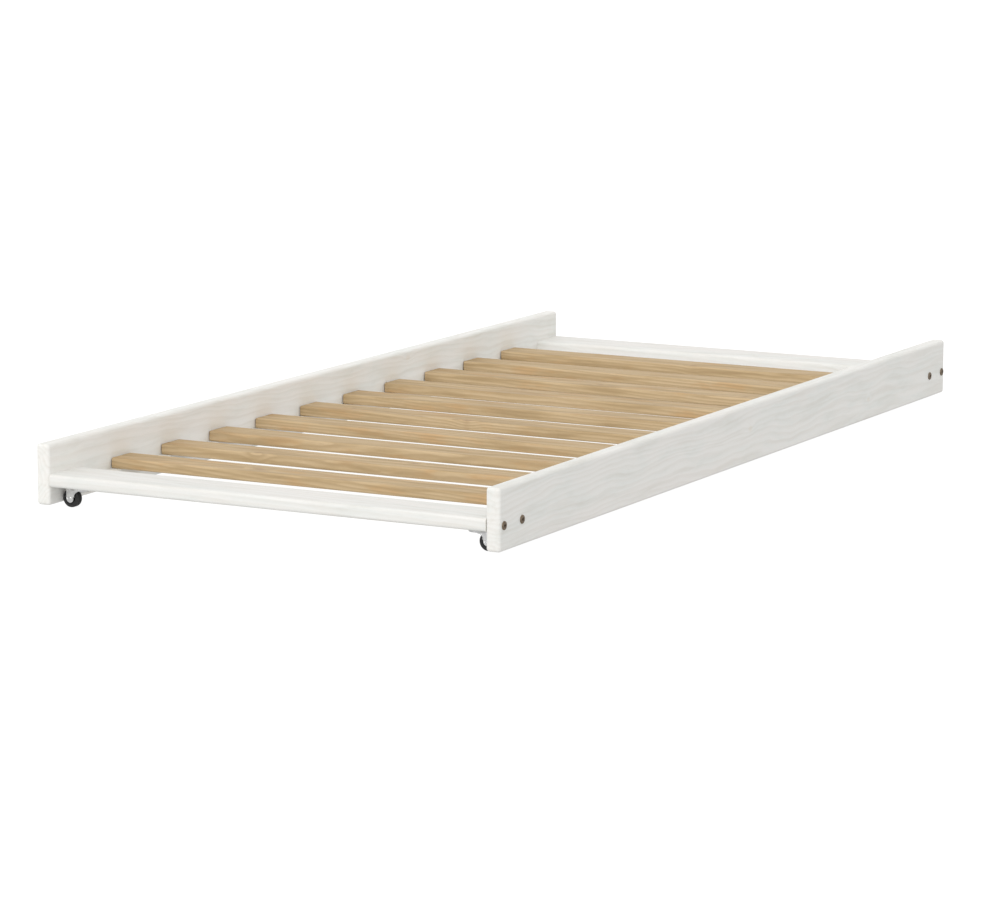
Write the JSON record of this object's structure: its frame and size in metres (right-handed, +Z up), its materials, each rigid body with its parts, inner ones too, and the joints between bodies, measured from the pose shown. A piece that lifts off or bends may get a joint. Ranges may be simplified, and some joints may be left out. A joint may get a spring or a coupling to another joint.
{
  "type": "trundle bed",
  "caption": "Low slatted pull-out bed frame: two side boards, flat end rails, cross slats on ledgers, and swivel casters under the rails.",
  "frame": {"origin": "on the floor under the middle of the bed", "axes": "+X across the bed to the right side board, +Y along the bed to the head end, +Z up"},
  "size_m": [0.9624, 2, 0.121],
  "materials": {
    "whitewashed_pine": "thin white wash over pine, satin lacquer",
    "natural_pine": "bare planed pine, matte",
    "antique_bronze": "dark bronze plated steel, satin",
    "zinc_steel": "bright zinc plated pressed steel",
    "polished_balls": "polished bearing balls",
    "beech_dowel": "fluted beech dowel",
    "black_plastic": "moulded nylon",
    "black_rubber": "matte moulded tread"
  },
  "bodies": {
    "frame": {"left_side_panel": "whitewashed_pine", "right_side_panel": "whitewashed_pine", "foot_end_rail": "whitewashed_pine", "head_end_rail": "whitewashed_pine", "left_slat_ledger": "whitewashed_pine", "right_slat_ledger": "whitewashed_pine", "slat_01": "natural_pine", "slat_02": "natural_pine", "slat_03": "natural_pine", "slat_04": "natural_pine", "slat_05": "natural_pine", "slat_06": "natural_pine", "slat_07": "natural_pine", "slat_08": "natural_pine", "slat_09": "natural_pine", "slat_10": "natural_pine", "frame_bolts": "antique_bronze", "barrel_nuts": "zinc_steel", "rail_dowels": "beech_dowel", "ledger_screws": "zinc_steel", "slat_screws": "zinc_steel", "caster_screws": "zinc_steel", "foot_left_caster_plate": "zinc_steel", "foot_left_king_pin": "zinc_steel", "foot_right_caster_plate": "zinc_steel", "foot_right_king_pin": "zinc_steel", "head_left_caster_plate": "zinc_steel", "head_left_king_pin": "zinc_steel", "head_right_caster_plate": "zinc_steel", "head_right_king_pin": "zinc_steel"},
    "foot_left_swivel": {"foot_left_fork": "zinc_steel", "foot_left_axle": "zinc_steel", "foot_left_swivel_balls": "polished_balls"},
    "foot_left_wheel": {"foot_left_wheel_core": "black_plastic", "foot_left_tyre": "black_rubber"},
    "foot_right_swivel": {"foot_right_fork": "zinc_steel", "foot_right_axle": "zinc_steel", "foot_right_swivel_balls": "polished_balls"},
    "foot_right_wheel": {"foot_right_wheel_core": "black_plastic", "foot_right_tyre": "black_rubber"},
    "head_left_swivel": {"head_left_fork": "zinc_steel", "head_left_axle": "zinc_steel", "head_left_swivel_balls": "polished_balls"},
    "head_left_wheel": {"head_left_wheel_core": "black_plastic", "head_left_tyre": "black_rubber"},
    "head_right_swivel": {"head_right_fork": "zinc_steel", "head_right_axle": "zinc_steel", "head_right_swivel_balls": "polished_balls"},
    "head_right_wheel": {"head_right_wheel_core": "black_plastic", "head_right_tyre": "black_rubber"}
  },
  "joints": [
    {"name": "foot_left_swivel_turn", "type": "hinge", "parent": "frame", "child": "foot_left_swivel", "pos_m": [-0.413, -0.952, 0.0365], "axis": [0, 0, 1], "continuous": true},
    {"name": "foot_left_wheel_roll", "type": "hinge", "parent": "foot_left_swivel", "child": "foot_left_wheel", "pos_m": [-0.433, -0.952, 0.017], "axis": [0, 1, 0], "continuous": true},
    {"name": "foot_right_swivel_turn", "type": "hinge", "parent": "frame", "child": "foot_right_swivel", "pos_m": [0.413, -0.952, 0.0365], "axis": [0, 0, 1], "continuous": true},
    {"name": "foot_right_wheel_roll", "type": "hinge", "parent": "foot_right_swivel", "child": "foot_right_wheel", "pos_m": [0.433, -0.952, 0.017], "axis": [0, 1, 0], "continuous": true},
    {"name": "head_left_swivel_turn", "type": "hinge", "parent": "frame", "child": "head_left_swivel", "pos_m": [-0.413, 0.952, 0.0365], "axis": [0, 0, 1], "continuous": true},
    {"name": "head_left_wheel_roll", "type": "hinge", "parent": "head_left_swivel", "child": "head_left_wheel", "pos_m": [-0.433, 0.952, 0.017], "axis": [0, 1, 0], "continuous": true},
    {"name": "head_right_swivel_turn", "type": "hinge", "parent": "frame", "child": "head_right_swivel", "pos_m": [0.413, 0.952, 0.0365], "axis": [0, 0, 1], "continuous": true},
    {"name": "head_right_wheel_roll", "type": "hinge", "parent": "head_right_swivel", "child": "head_right_wheel", "pos_m": [0.433, 0.952, 0.017], "axis": [0, 1, 0], "continuous": true}
  ]
}
